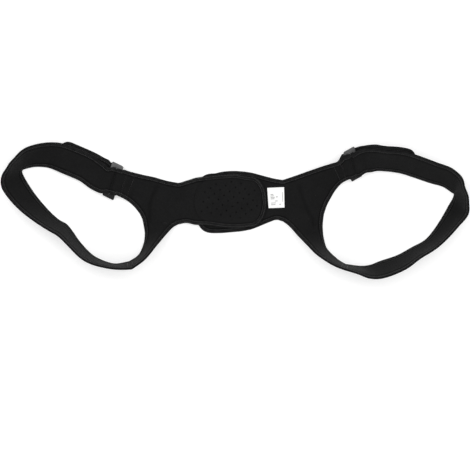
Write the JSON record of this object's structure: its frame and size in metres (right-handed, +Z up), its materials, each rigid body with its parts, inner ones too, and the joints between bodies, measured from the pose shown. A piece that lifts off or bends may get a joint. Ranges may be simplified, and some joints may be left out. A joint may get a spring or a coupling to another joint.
{
  "type": "posture corrector",
  "caption": "Padded cloth posture corrector lying flat: two halves overlap at the back under a vented oval pad, each with an arm loop closed by a plastic ring buckle.",
  "frame": {"origin": "on the floor plane, under the middle of the overall box", "axes": "+X towards the right arm loop, +Y towards the neck edge, +Z up out of the side worn against the back"},
  "size_m": [0.8, 0.2348, 0.0491],
  "materials": {
    "padded_cloth": "matt knitted cloth over foam rubber",
    "pad_cloth": "matt knitted cloth over foam rubber",
    "buckle_plastic": "gloss",
    "label_tape": "smooth woven tape"
  },
  "bodies": {
    "root": {"left_back_panel": "padded_cloth", "right_back_panel": "padded_cloth", "spine_pad": "pad_cloth", "left_shoulder_strap": "padded_cloth", "right_shoulder_strap": "padded_cloth", "left_ring_buckle": "buckle_plastic", "right_ring_buckle": "buckle_plastic", "care_label": "label_tape"}
  },
  "joints": []
}
